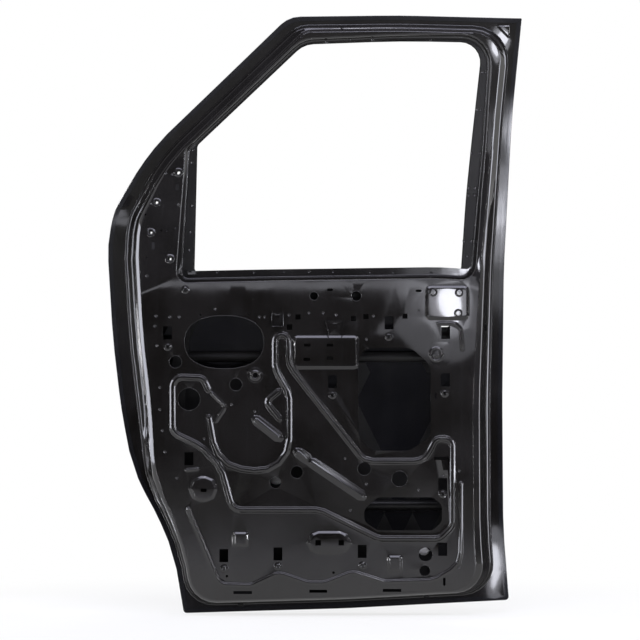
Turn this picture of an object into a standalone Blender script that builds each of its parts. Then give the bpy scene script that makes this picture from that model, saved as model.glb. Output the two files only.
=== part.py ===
# Shell of a van's right front door, seen from the cabin: outer skin, inner pressing and the
# pieces that are welded between them. Sizes are in millimetres and meshes in metres.
# X runs from the hinges to the latch, Y from the cabin to the street, and Z is up.
# The origin is below the middle of the door, level with its lowest edge.

import math

import bmesh
import bpy
import numpy as np
from mathutils import Vector
from mathutils.bvhtree import BVHTree
from mathutils.geometry import delaunay_2d_cdt

for old in list(bpy.data.objects):
    bpy.data.objects.remove(old)

MM = 0.001

# Sheet thicknesses, and the play between two sheets that lie on each other
SKIN_SHEET = 0.8
PANEL_SHEET = 0.9
CHANNEL_SHEET = 1.2
PLATE_SHEET = 2.0
PLAY = 0.3

# Outer skin: a barrel that is fullest at its crown and bows a little from front to rear
CROWN_Y = 70.9
CROWN_Z = 450.0
BARREL_RADIUS = 5300.0
BOW_RADIUS = 12000.0
HEM_LIP = 11.0
RETURN_RUN = 7.0
RETURN_DEPTH = 12.0

# Inner pressing, by depth inboard of the skin's outer face
TRIM_PLANE_Y = -55.6
RAY_FROM_Y = -900.0
STEP_DEPTH = 19.0
LAND_DEPTH = 22.0
FRAME_DEPTH = 43.0
FRAME_RISE_FROM = 806.0
FRAME_RISE_TO = 1090.0
GLASS_FLANGE_DEPTH = 31.0
BELT_FLANGE_DEPTH = 52.0

# Layout: longest side of a facet along an edge, and the turn between facets of an arc
SPAN = 76.0
BEAD_SPAN = 400.0
ARC_STEP = math.radians(18)
BEAD_ARC_STEP = math.radians(30)
BEAD_ARC_SPAN = 34.0

# Door edge, counter-clockwise from the lower front corner:
# x, z, corner radius, radius of the rings inside it, section before and after the corner
DOOR_EDGE = [
    (-314, 0, 9, 84, "toe", "sill"),
    (74, 11, 1500, 1500, "sill", "sill"),
    (470, 32, 9, 78, "sill", "heel"),
    (457, 203, 900, 900, "heel", "latch"),
    (455, 515, 1500, 1500, "latch", "latch"),
    (458, 832, 1500, 1500, "latch", "pillar"),
    (475, 1187, 1500, 1500, "pillar", "pillar"),
    (497, 1428, 3, 84, "pillar", "header"),
    (206, 1436, 2500, 2500, "header", "header"),
    (-60, 1433, 70, 60, "header", "screen"),
    (-370, 1138, 300, 260, "screen", "screen"),
    (-418, 1076, 300, 260, "screen", "shoulder"),
    (-481, 971, 140, 110, "shoulder", "hinge"),
    (-498.5, 888, 300, 260, "hinge", "hinge"),
    (-486, 664, 1200, 1160, "hinge", "hinge"),
    (-466, 491, 1200, 1160, "hinge", "hinge"),
    (-440, 356, 300, 240, "knee", "knee"),
    (-410, 292, 300, 260, "shin", "shin"),
    (-377, 232, 400, 380, "shin", "toe"),
    (-338, 140, 300, 260, "toe", "toe"),
]

# Width from the door edge to each ring of the pressing: foot and top of the seal step,
# end of the seal land, shoulder and edge of the trim plane
SECTIONS = {
    "sill": (19, 22, 24, 30, 36),
    "heel": (33, 37, 40, 60, 76),
    "latch": (31, 36, 40, 60, 77),
    "pillar": (23, 27, 30, 41, 44.5),
    "header": (21.5, 28, 34, 37.5, 40),
    "screen": (30, 36, 50, 53.5, 56),
    "shoulder": (36, 41, 55, 62, 68),
    "hinge": (41, 46, 58, 70, 79),
    "knee": (31, 35, 39, 52, 62),
    "shin": (15, 18, 22, 35, 43),
    "toe": (15, 18, 20, 28, 35),
}

# Window aperture of the skin and of the pressing, and the flange width round the second
SKIN_WINDOW = [
    (-288, 823, 8),
    (-125, 827, 1500),
    (305, 830, 1500),
    (354, 827, 8),
    (365, 1002, 2500),
    (379, 1144, 2500),
    (403, 1370, 48),
    (206, 1374, 2500),
    (-24, 1366, 62),
    (-280, 1126, 14),
]
PANEL_WINDOW = [
    (-316, 824, 14, "front", "belt"),
    (-125, 828, 1500, "belt", "belt"),
    (305, 834, 1500, "belt", "belt"),
    (375, 828, 10, "belt", "rear"),
    (390, 997, 2500, "rear", "rear"),
    (401, 1115, 2500, "rear", "rear"),
    (417, 1377, 62, "rear", "top"),
    (206, 1377, 2500, "top", "top"),
    (-24, 1367, 62, "top", "top"),
    (-297, 1112, 16, "top", "front"),
]
WINDOW_SECTIONS = {
    "front": (3, 12),
    "belt": (19, 28),
    "rear": (3, 11),
    "top": (6, 10.5),
}

# Beads of the trim plane: path with corner radii, foot width, crown width, height
BEAD_HEIGHT = 5.0
BEAD_FOOT = 15.0
BEAD_CROWN = 6.0
RIM_BEAD_HEIGHT = 4.0
RIM_BEAD_FOOT = 11.0
RIM_BEAD_CROWN = 4.0
LONG_BEAD = [
    (-252, 541, 0), (-264, 569, 16), (-326, 571, 18), (-337, 553, 18), (-337, 438, 24),
    (-271, 407, 60), (-221, 356, 60), (-194, 254, 26), (14, 254, 40), (154, 185, 30),
    (300, 185, 24), (330, 215, 24), (330, 424, 18), (290, 424, 18), (264, 370, 40),
    (120, 370, 40), (-60, 600, 60), (-62, 672, 15), (-93, 672, 15), (-93, 590, 40),
    (-59, 530, 40), (-59, 338, 80), (-230, 358, 95), (-250, 474, 0),
]
STIFFENER_BEADS = [
    [(-137, 469, 0), (-85, 428, 0)], [(-37, 391, 0), (-18, 377, 0)], [(-4, 367, 0), (113, 288, 0)],
]
STIFFENER_FOOT = 25.0
STIFFENER_CROWN = 19.0
STIFFENER_HEIGHT = 2.5
STIFFENER_RIDGE_FOOT = 11.0
STIFFENER_RIDGE_CROWN = 3.0
HOOK_BEAD = [(-85, 537, 0), (-116, 512, 14), (-83, 472, 0)]
THIN_BEAD_HEIGHT = 2.8
THIN_BEAD_FOOT = 9.0
THIN_BEAD_CROWN = 3.0
THIN_BEADS = [
    [(-243, 532, 0), (-210, 500, 12), (-233, 466, 0)],
    [(298, 699, 0), (336, 699, 10), (350, 685, 12), (354, 636, 0)],
    [(-303, 349, 0), (-278, 352, 0)],
]
WAVE_BEAD = [
    (-300, 256, 0), (-225, 76, 24), (-149, 74, 24), (-84, 104, 30), (-14, 80, 30),
    (26, 80, 30), (92, 106, 30), (168, 82, 30), (214, 84, 30), (285, 86, 40), (350, 124, 50),
    (350, 316, 0),
]

# Raised and sunk pads of the trim plane: centre, size, corner radius, height
PAD_DRAFT = 6.0
BRACKET_PAD = (28, 630, 156, 80, 10, 3.5)
HANDLE_PAD = (318, 748, 104, 82, 12, 4.0)
GROMMET_PAD = (-264, 304, 66, 62, 28, 4.5)
DRAIN_PAD = (36, 176, 104, 56, 27, 4.5)
SQUARE_PADS = [(-175, 184, 38, 36, 6, 3.5), (193, 126, 36, 40, 6, 3.5)]
CORNER_PAD = [(434, 1412, 3), (470, 1376, 3), (470, 1412, 3)]
CORNER_PAD_DRAFT = 4.0
CORNER_PAD_HEIGHT = 2.5

# Openings of the pressing: centre, size and corner radius
SPEAKER_WIDTH = 190.0
SPEAKER_HEIGHT = 127.0
SPEAKER_AT = (-214, 654)
LATCH_ACCESS = [
    (106, 640, 34), (232, 640, 34), (278, 600, 40), (278, 428, 34), (226, 395, 20),
    (138, 395, 30), (106, 428, 30),
]
LOWER_ACCESS = [
    (152, 284, 20), (120, 256, 20), (120, 226, 20), (152, 205, 18), (284, 205, 18),
    (305, 226, 18), (305, 266, 18), (284, 284, 18),
]
CLIP_SLOT_WIDTH = 21.0
CLIP_SLOT_HEIGHT = 31.0
CLIP_SLOTS = [
    (-349, 676), (179, 700), (44, 560), (314, 677), (313, 564), (307, 314), (-298, 376),
    (-215, 145), (-86, 149), (115, 155), (307, 160),
]
ROUND_HOLES = [
    (-330, 607, 15), (-186, 553, 15), (-298, 518, 27), (-41, 344, 15), (-92, 319, 14),
    (120, 352, 16), (204, 328, 19), (0, 764, 10), (101, 764, 12), (266, 148, 17),
    (264, 109, 13), (-140, 575, 15),
]
SPEAKER_SCREW_HOLES = [(-271, 719, 2.5), (-157, 719, 2.5), (-269, 589, 2.5), (-158, 589, 2.5)]
SMALL_SLOTS = [
    (-38, 714, 12, 12), (-58, 690, 13, 13), (94, 710, 12, 12), (124, 715, 12, 12),
    (217, 716, 12, 12), (305, 377, 36, 8), (-16, 647, 15, 7), (38, 647, 15, 7),
    (-17, 613, 15, 7), (38, 616, 15, 7), (-263, 301, 14, 8), (10, 176, 13, 13),
    (65, 176, 13, 13),
]
DRAIN_SLOTS = [(-170, 57, 44, 7), (10, 60, 42, 7), (186, 62, 44, 7)]

# Mirror fixing: through holes of skin, pressing and reinforcement
MIRROR_HOLE = 9.0
MIRROR_HOLES = [(-325, 1060), (-377, 989), (-390, 917), (-344, 853)]
MIRROR_PLATE_FROM = 838.0
MIRROR_PLATE_TO = 1080.0
MIRROR_PLATE_MARGIN = 5.0
MIRROR_PLATE_PLAY = 0.7

# Hinges, check strap and latch sit on flats of the shut faces
HINGE_Z = (690, 372)
HINGE_FLAT = 86.0
HINGE_PLATE = (54.0, 76.0)
HINGE_BOLT_PITCH = 48.0
HINGE_BOLT_HOLE = 11.0
STRAP_Z = 515
STRAP_FLAT = 60.0
STRAP_PLATE = (58.0, 50.0)
SLOT_SIDES = 12
STRAP_SLOT = (42.0, 26.0)
LATCH_Z = 688
LATCH_FLAT = 80.0
LATCH_PLATE = (58.0, 70.0)
LATCH_MOUTH = (46.0, 22.0)
LATCH_BOLT_PITCH = 52.0
LATCH_BOLT_HOLE = 8.0
FLAT_INSET = 16.0
PLATE_CORNER = 8.0
NUT_ACROSS = 18.0
NUT_HEIGHT = 8.0

# Intrusion beams: round tubes on saddle brackets
BEAM_RADIUS = 13.0
BEAM_WALL = 2.2
BEAM_Z = (618, 260)
BEAM_FROM_SKIN = 24.0
BEAM_END_GAP = 8.0
SADDLE_SHEET = 1.6
SADDLE_LENGTH = 70.0
SADDLE_WRAP = math.radians(75)
SADDLE_FOOT = 14.0
SADDLE_BEND = 4.0

# Glass channels and belt rails
CHANNEL_LIP_BACK = 1.5
CHANNEL_BASE_BACK = 9.0
CHANNEL_SPLIT_Z = 800.0
CHANNEL_FOOT_Z = 494.0
CHANNEL_LEAN = 0.07
CHANNEL_BRACKET_Z = 560.0
CHANNEL_BRACKET_WIDTH = 24.0
CHANNEL_BRACKET_FOOT = 20.0
BELT_RAIL_ENDS = (-282, 336)
BELT_RAIL_TOP = 810.0
BELT_RAIL_LAND = 12.0
BELT_RAIL_STEP = 5.0
BELT_RAIL_WEB = 20.0
BELT_RAIL_BULGE = 9.0

# Handle cup of the skin, with the openings in its floor, and the plate behind it
HANDLE_AT = (318, 700)
HANDLE_CUP = (150, 60)
HANDLE_CUP_DEPTH = 9.0
HANDLE_CUP_DRAFT = 8.0
HANDLE_SLOT = (62, 20)
HANDLE_SLOT_FROM = -22.0
KEY_HOLE = 24.0
KEY_HOLE_FROM = 46.0
HANDLE_PLATE_MARGIN = 14.0
HANDLE_PLATE_CLEAR = 3.0

# Brackets on the trim plane: centre, width, height, wall height, and pieces round them
ARMREST_BRACKET = (-86.5, 708, 29, 34)
ARMREST_WALL = 15.0
PULL_BRACKET = (50, 689, 48, 34, 16)
PULL_WALL = 13.0
LOCK_PLATE = (301, 627.5, 46, 54)
LOCK_BOSS = (292, 625)
BRACKET_SHEET = 1.5
BRACKET_HOLE = 12.0
BOSS_RADIUS = 10.5
BOSS_BORE = 4.0
BOSS_HEIGHT = 4.0
BOSSES = [
    (-349, 643), (178, 667), (44, 528), (312, 532), (307, 292), (-214, 114), (-86, 119),
    (116, 121), (-307, 779),
]
PLATE_BOLTS = [(284, 773), (346, 772), (344, 723)]

E_COAT = {
    "skin": ((0.018, 0.018, 0.021, 1), 0.22),
    "panel": ((0.016, 0.015, 0.015, 1), 0.2),
    "inner": ((0.03, 0.03, 0.033, 1), 0.34),
}


# Plane geometry


def smooth(t):
    t = min(1.0, max(0.0, t))
    return t * t * (3 - 2 * t)


def skinY(x, z):
    return CROWN_Y - (z - CROWN_Z) ** 2 / (2 * BARREL_RADIUS) - x ** 2 / (2 * BOW_RADIUS)


def crestY(x, z):
    """Trim plane below the belt, then the crest of the window frame"""
    rise = smooth((z - FRAME_RISE_FROM) / (FRAME_RISE_TO - FRAME_RISE_FROM))
    return TRIM_PLANE_Y * (1 - rise) + (skinY(x, z) - FRAME_DEPTH) * rise


def flangeY(x, z):
    """Window flange of the pressing, further inboard at the belt than in the frame"""
    rise = smooth((z - FRAME_RISE_FROM) / (FRAME_RISE_TO - FRAME_RISE_FROM))
    return skinY(x, z) - BELT_FLANGE_DEPTH * (1 - rise) - GLASS_FLANGE_DEPTH * rise


def spread(a, b, longest):
    """Points from a up to b, without b, no further apart than longest"""
    count = max(1, math.ceil(math.dist(a, b) / longest - 1e-6))
    return [(a[0] + (b[0] - a[0]) * i / count, a[1] + (b[1] - a[1]) * i / count)
            for i in range(count)]


def rounding(before, here, after, radius):
    """Arc in a corner: its centre, radius, first angle and signed turn"""
    here = Vector(here[:2])
    back, ahead = Vector(before[:2]) - here, Vector(after[:2]) - here
    turn = math.pi - back.angle(ahead)
    reach = min(radius * math.tan(turn / 2), 0.49 * back.length, 0.49 * ahead.length)
    if reach < 0.2:
        return None
    radius = reach / math.tan(turn / 2)
    start = here + back.normalized() * reach
    side = 1 if back.cross(ahead) < 0 else -1
    centre = start + Vector((back.y, -back.x)).normalized() * side * radius
    return centre, radius, math.atan2(start.y - centre.y, start.x - centre.x), side * turn


def onArc(arc, share):
    centre, radius, first, turn = arc
    angle = first + turn * share
    return (centre.x + radius * math.cos(angle), centre.y + radius * math.sin(angle))


def filleted(corners, closed=True, longest=SPAN, arcStep=ARC_STEP, arcSpan=None):
    """Points along a path whose corners (x, z, radius) are rounded"""
    points = []
    for i, corner in enumerate(corners):
        if not closed and i in (0, len(corners) - 1):
            points.append(corner[:2])
            continue
        arc = rounding(corners[i - 1], corner, corners[(i + 1) % len(corners)], corner[2])
        if not arc:
            points.append(corner[:2])
            continue
        count = max(1, math.ceil(abs(arc[3]) / arcStep - 1e-6))
        count = max(count, math.ceil(abs(arc[3]) * arc[1] / (arcSpan or longest)))
        points += [onArc(arc, k / count) for k in range(count + 1)]
    ends = points[1:] + points[:1] if closed else points[1:]
    laid = []
    for a, b in zip(points, ends):
        laid += spread(a, b, longest)
    return laid if closed else laid + [points[-1]]


def inset(corners, widths, radii):
    """Corners moved to the left of the path, by a width before and after each corner"""
    moved = []
    for i, corner in enumerate(corners):
        here = Vector(corner[:2])
        before = (here - Vector(corners[i - 1][:2])).normalized()
        after = (Vector(corners[(i + 1) % len(corners)][:2]) - here).normalized()
        left = [Vector((-d.y, d.x)) for d in (before, after)]
        w0, w1 = widths[i]
        if abs(before.cross(after)) > 0.35:
            a, b = here + left[0] * w0, here + left[1] * w1
            along = (b - a).cross(after) / before.cross(after)
            point = a + before * along
        else:
            middle = (left[0] + left[1]).normalized()
            point = here + middle * (w0 + w1) / 2 / middle.dot(left[0])
        moved.append((point.x, point.y, radii[i]))
    return moved


def circle(x, z, radius, sides=12):
    return [(x + radius * math.cos(2 * math.pi * k / sides),
             z + radius * math.sin(2 * math.pi * k / sides)) for k in range(sides)]


def oval(x, z, width, height, sides=32):
    """Superellipse, fuller than an ellipse at its corners"""
    points = []
    for k in range(sides):
        c, s = math.cos(2 * math.pi * k / sides), math.sin(2 * math.pi * k / sides)
        points.append((x + width / 2 * math.copysign(abs(c) ** 0.86, c),
                       z + height / 2 * math.copysign(abs(s) ** 0.86, s)))
    return points


def rectangle(x, z, width, height, radius=0.0, longest=SPAN, arcStep=math.radians(45)):
    w, h = width / 2, height / 2
    corners = [(x - w, z - h, radius), (x + w, z - h, radius), (x + w, z + h, radius),
               (x - w, z + h, radius)]
    return filleted(corners, longest=longest, arcStep=arcStep)


def inside(points, loop):
    """Even-odd test of many points against one loop"""
    p, ring = np.asarray(points, float), np.asarray(loop, float)
    a, b = ring, np.roll(ring, -1, axis=0)
    px, pz = p[:, :1], p[:, 1:2]
    spans = (a[:, 1] > pz) != (b[:, 1] > pz)
    rise = np.where(b[:, 1] == a[:, 1], 1e-12, b[:, 1] - a[:, 1])
    crossing = px < (b[:, 0] - a[:, 0]) * (pz - a[:, 1]) / rise + a[:, 0]
    return (spans & crossing).sum(axis=1) % 2 == 1


def pathDistance(points, path, closed=False):
    p, a = np.asarray(points, float), np.asarray(path, float)
    b = np.roll(a, -1, axis=0) if closed else a[1:]
    a = a if closed else a[:-1]
    d = b - a
    along = ((p[:, None] - a) * d).sum(axis=2) / (d ** 2).sum(axis=1)
    nearest = a + d * np.clip(along, 0, 1)[..., None]
    return np.sqrt(((p[:, None] - nearest) ** 2).sum(axis=2)).min(axis=1)


def besides(path, gap):
    """Loop round an open path at a constant gap, with blunt ends"""
    p = np.asarray(path, float)
    d = np.diff(p, axis=0)
    d /= np.linalg.norm(d, axis=1)[:, None]
    t = np.vstack([d[:1], d[:-1] + d[1:], d[-1:]])
    t /= np.linalg.norm(t, axis=1)[:, None]
    cosine = np.maximum(0.6, np.concatenate([[1], (t[1:-1] * d[1:]).sum(axis=1), [1]]))
    n = np.stack([-t[:, 1], t[:, 0]], axis=1) * (gap / cosine)[:, None]
    head, tail = p[-1] + d[-1] * gap, p[0] - d[0] * gap
    loop = list(p + n) + [head + n[-1] * 0.4, head - n[-1] * 0.4]
    return [tuple(q) for q in loop + list((p - n)[::-1]) + [tail - n[0] * 0.4, tail + n[0] * 0.4]]


# Sheets: a flat layout is triangulated, each point gets its depth, and the sheet is thickened


def layout(outline, holes, loops=(), points=()):
    """Triangulate the area inside the outline and outside the holes, along all loops"""
    verts, edges = [], []
    for loop, closed in [(outline, True)] + [(h, True) for h in holes] + list(loops):
        first = len(verts)
        verts += [Vector(p) for p in loop]
        edges += [(first + k, first + k + 1) for k in range(len(loop) - 1)]
        if closed:
            edges.append((len(verts) - 1, first))
    verts += [Vector(p) for p in points]
    flat, _, faces, *_ = delaunay_2d_cdt(verts, edges, [], 0, 0.02)
    spots = np.array([tuple(v) for v in flat])
    faces = [f if (flat[f[1]] - flat[f[0]]).cross(flat[f[2]] - flat[f[0]]) > 0 else f[::-1]
             for f in faces]
    corners = spots[np.array(faces)]
    middles = corners.mean(axis=1)
    sides = np.linalg.norm(corners - np.roll(corners, 1, axis=1), axis=2).max(axis=1)
    d1, d2 = corners[:, 1] - corners[:, 0], corners[:, 2] - corners[:, 0]
    area = d1[:, 0] * d2[:, 1] - d1[:, 1] * d2[:, 0]
    # Slivers between points in line along the rim are no part of the sheet
    keep = inside(middles, outline) & (area > 0.01 * sides)
    for hole in holes:
        keep &= ~inside(middles, hole)
    faces = [f for f, k in zip(faces, keep) if k]
    used = sorted({i for f in faces for i in f})
    index = {old: new for new, old in enumerate(used)}
    return spots[used], [tuple(index[i] for i in f) for f in faces]


def meshOf(verts, faces):
    mesh = bmesh.new()
    made = [mesh.verts.new(Vector(v) * MM) for v in verts]
    for face in faces:
        mesh.faces.new([made[i] for i in face])
    return mesh


def material(name, kind):
    colour, roughness = E_COAT[kind]
    made = bpy.data.materials.new(name + "_paint")
    made.use_nodes = True
    shader = made.node_tree.nodes["Principled BSDF"]
    shader.inputs["Base Color"].default_value = colour
    shader.inputs["Roughness"].default_value = roughness
    shader.inputs["Metallic"].default_value = 0.0
    return made


def finish(name, mesh, kind="inner", sheet=0.0, smoothAngle=0.0):
    """Turn a bmesh into a named object, thickened away from its facing side"""
    data = bpy.data.meshes.new(name)
    mesh.to_mesh(data)
    mesh.free()
    data.materials.append(material(name, kind))
    if smoothAngle:
        data.shade_smooth()
        data.set_sharp_from_angle(angle=smoothAngle)
    made = bpy.data.objects.new(name, data)
    bpy.context.scene.collection.objects.link(made)
    if sheet:
        thicken = made.modifiers.new("sheet", "SOLIDIFY")
        thicken.thickness = sheet * MM
        thicken.offset = -1
        thicken.use_even_offset = False
        thicken.use_quality_normals = True
    return made


def solid(name, verts, faces, kind="inner", smoothAngle=0.0):
    mesh = meshOf(verts, faces)
    bmesh.ops.recalc_face_normals(mesh, faces=mesh.faces)
    return finish(name, mesh, kind, smoothAngle=smoothAngle)


def lofted(name, sections, kind="inner", smoothAngle=0.0):
    """Join equal closed sections one after the other, with flat ends"""
    n = len(sections[0])
    verts = [v for section in sections for v in section]
    faces = [(s * n + k, s * n + (k + 1) % n, (s + 1) * n + (k + 1) % n, (s + 1) * n + k)
             for s in range(len(sections) - 1) for k in range(n)]
    faces += [tuple(range(n)), tuple(range(len(verts) - n, len(verts)))]
    return solid(name, verts, faces, kind, smoothAngle)


def plate(name, outline, holes, origin, across, up, sheet, kind="inner"):
    """Flat plate laid out along across and up, its thickness toward their cross product"""
    spots, faces = layout(outline, holes)
    mesh = meshOf([origin + across * a + up * b for a, b in spots], [f[::-1] for f in faces])
    return finish(name, mesh, kind, sheet)


def turned(name, profile, origin, axis, sides=12, kind="inner", smoothAngle=0.0):
    """Ring with a closed profile of (radius, height) turned round an axis"""
    axis = Vector(axis).normalized()
    u = axis.orthogonal().normalized()
    v = axis.cross(u)
    verts, n = [], len(profile)
    for k in range(sides):
        angle = 2 * math.pi * k / sides
        out = u * math.cos(angle) + v * math.sin(angle)
        verts += [Vector(origin) + out * r + axis * h for r, h in profile]
    faces = [(s * n + k, s * n + (k + 1) % n, (s + 1) % sides * n + (k + 1) % n, (s + 1) % sides * n + k)
             for s in range(sides) for k in range(n)]
    return solid(name, verts, faces, kind, smoothAngle)


def bentStrip(path, sheet):
    """Closed section of a sheet bent along a path, thickened to the left of the path"""
    points = [Vector(p) for p in path]
    dirs = [(b - a).normalized() for a, b in zip(points, points[1:])]
    outer = []
    for i, p in enumerate(points):
        d0, d1 = dirs[max(0, i - 1)], dirs[min(i, len(dirs) - 1)]
        n0, n1 = Vector((-d0.y, d0.x)), Vector((-d1.y, d1.x))
        m = (n0 + n1).normalized()
        outer.append(p + m * sheet / m.dot(n0))
    return [tuple(p) for p in points] + [tuple(p) for p in reversed(outer)]


# Rings of the inner pressing


def doorRing(ring):
    """Corners of one ring of the pressing: 0 is the flange edge inside the hem fold"""
    if ring == 0:
        clear = SKIN_SHEET + PLAY
        widths = [(clear, clear)] * len(DOOR_EDGE)
        radii = [c[2] for c in DOOR_EDGE]
    else:
        widths = [(SECTIONS[c[4]][ring - 1], SECTIONS[c[5]][ring - 1]) for c in DOOR_EDGE]
        radii = [max(c[3] - SECTIONS[c[4]][ring - 1] + SECTIONS[c[4]][0], 4) if c[3] < 200 else c[3]
                 for c in DOOR_EDGE]
    return inset([c[:2] for c in DOOR_EDGE], widths, radii)


def windowRing(ring):
    """Corners of one ring round the pressing's window: 0 is the edge of the flange"""
    if ring == 0:
        return [c[:3] for c in PANEL_WINDOW]
    widths = [tuple(-WINDOW_SECTIONS[s][ring - 1] for s in c[3:]) for c in PANEL_WINDOW]
    radii = [c[2] + WINDOW_SECTIONS[c[3]][ring - 1] if c[2] < 200 else c[2] for c in PANEL_WINDOW]
    return inset([c[:2] for c in PANEL_WINDOW], widths, radii)


def shoulderY(x, z):
    """Where the wall rounds over into the crest or the trim plane"""
    low = 1 - smooth((z - FRAME_RISE_FROM) / (FRAME_RISE_TO - FRAME_RISE_FROM))
    return crestY(x, z) + 4 + 5 * low


HEM_FOLD = 2 * SKIN_SHEET + PANEL_SHEET + 2 * PLAY
FLANGE_DEPTH = SKIN_SHEET + PLAY + PANEL_SHEET
RING_DEPTHS = [
    lambda x, z: skinY(x, z) - FLANGE_DEPTH,
    lambda x, z: skinY(x, z) - FLANGE_DEPTH,
    lambda x, z: skinY(x, z) - STEP_DEPTH,
    lambda x, z: skinY(x, z) - LAND_DEPTH,
    shoulderY,
    crestY,
]
WINDOW_DEPTHS = [flangeY, flangeY, crestY]


class Pressing:
    """The plain form of the inner pressing, before its beads, pads and holes"""

    def __init__(self):
        self.rings = [filleted(doorRing(k)) for k in range(6)]
        self.windowRings = [filleted(windowRing(k), longest=SPAN / 2) for k in range(3)]
        known, depths = [], []
        for ring, depth in zip(self.rings + self.windowRings, RING_DEPTHS + WINDOW_DEPTHS):
            known += ring
            depths += [depth(*p) for p in ring]
        loops = [(r, True) for r in self.rings[1:] + self.windowRings[1:]]
        spots, faces = layout(self.rings[0], [self.windowRings[0]], loops)
        nearest = np.array([((np.array(known) - s) ** 2).sum(axis=1).argmin() for s in spots])
        verts = [Vector((x, depths[k], z)) for (x, z), k in zip(spots, nearest)]
        self.tree = BVHTree.FromPolygons(verts, faces)

    def y(self, x, z):
        """Depth at a spot, looked for a hair to each side where it lies on the rim"""
        for dx, dz in ((0, 0), (-0.1, 0), (0.1, 0), (0, -0.1), (0, 0.1), (-0.3, -0.3), (0.3, -0.3),
                       (-0.3, 0.3), (0.3, 0.3)):
            hit = self.tree.ray_cast(Vector((x + dx, RAY_FROM_Y, z + dz)), Vector((0, 1, 0)))[0]
            if hit:
                return hit.y
        return self.tree.find_nearest(Vector((x, flangeY(x, z), z)))[0].y

    def wall(self, y, z, side):
        """Point and inward normal of the shut face at a height and depth"""
        hit, normal = self.tree.ray_cast(Vector((0.0, y, z)), Vector((side, 0, 0)))[:2]
        return hit, normal if normal.x * side < 0 else -normal


pressing = Pressing()


def shutFlat(z, height, side):
    """A flat on the shut face: its layout loop and its plane y = base + slope*(x - x0)"""
    depth = [crestY(0, z) + FLAT_INSET, skinY(0, z) - LAND_DEPTH - FLAT_INSET + 4]
    low, high = (pressing.wall(d, z, side)[0] for d in depth)
    slope = (high.y - low.y) / (high.x - low.x)
    up, down = (pressing.wall(sum(depth) / 2, z + s * height / 2, side)[0] for s in (1, -1))
    lean = (up.x - down.x) / (up.z - down.z)
    plane = lambda x, zz: low.y + slope * (x - low.x - lean * (zz - z))
    loop = [(low.x - lean * height / 2, z - height / 2), (high.x - lean * height / 2, z - height / 2),
            (high.x + lean * height / 2, z + height / 2), (low.x + lean * height / 2, z + height / 2)]
    return {"loop": loop, "plane": plane, "slope": slope, "lean": lean, "low": low, "high": high,
            "z": z, "side": side}


def onFlat(flat, depth, z):
    """Point of a shut-face flat at a depth and height"""
    x = flat["low"].x + (depth - flat["low"].y) / flat["slope"] + flat["lean"] * (z - flat["z"])
    return Vector((x, depth, z))


def flatHole(flat, depth, z, width, height, sides=10):
    """Layout loop of a round or oval hole through a shut-face flat"""
    run = 1 / math.hypot(flat["slope"], 1)
    loop = []
    for k in range(sides):
        angle = 2 * math.pi * k / sides
        zz = z + height / 2 * math.sin(angle)
        spot = onFlat(flat, depth, zz)
        loop.append((spot.x + width / 2 * run * math.cos(angle), zz))
    return loop


hingeFlats = [shutFlat(z, HINGE_FLAT, -1) for z in HINGE_Z]
strapFlat = shutFlat(STRAP_Z, STRAP_FLAT, -1)
latchFlat = shutFlat(LATCH_Z, LATCH_FLAT, 1)
shutFlats = hingeFlats + [strapFlat, latchFlat]
FLAT_MIDDLE_Y = (TRIM_PLANE_Y + skinY(0, STRAP_Z) - LAND_DEPTH + 4) / 2


def hingeBolts(flat):
    return [(FLAT_MIDDLE_Y, flat["z"] + s * HINGE_BOLT_PITCH / 2) for s in (-1, 1)]


def latchBolts():
    return [(FLAT_MIDDLE_Y, LATCH_Z + s * LATCH_BOLT_PITCH / 2) for s in (-1, 1)]


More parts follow.
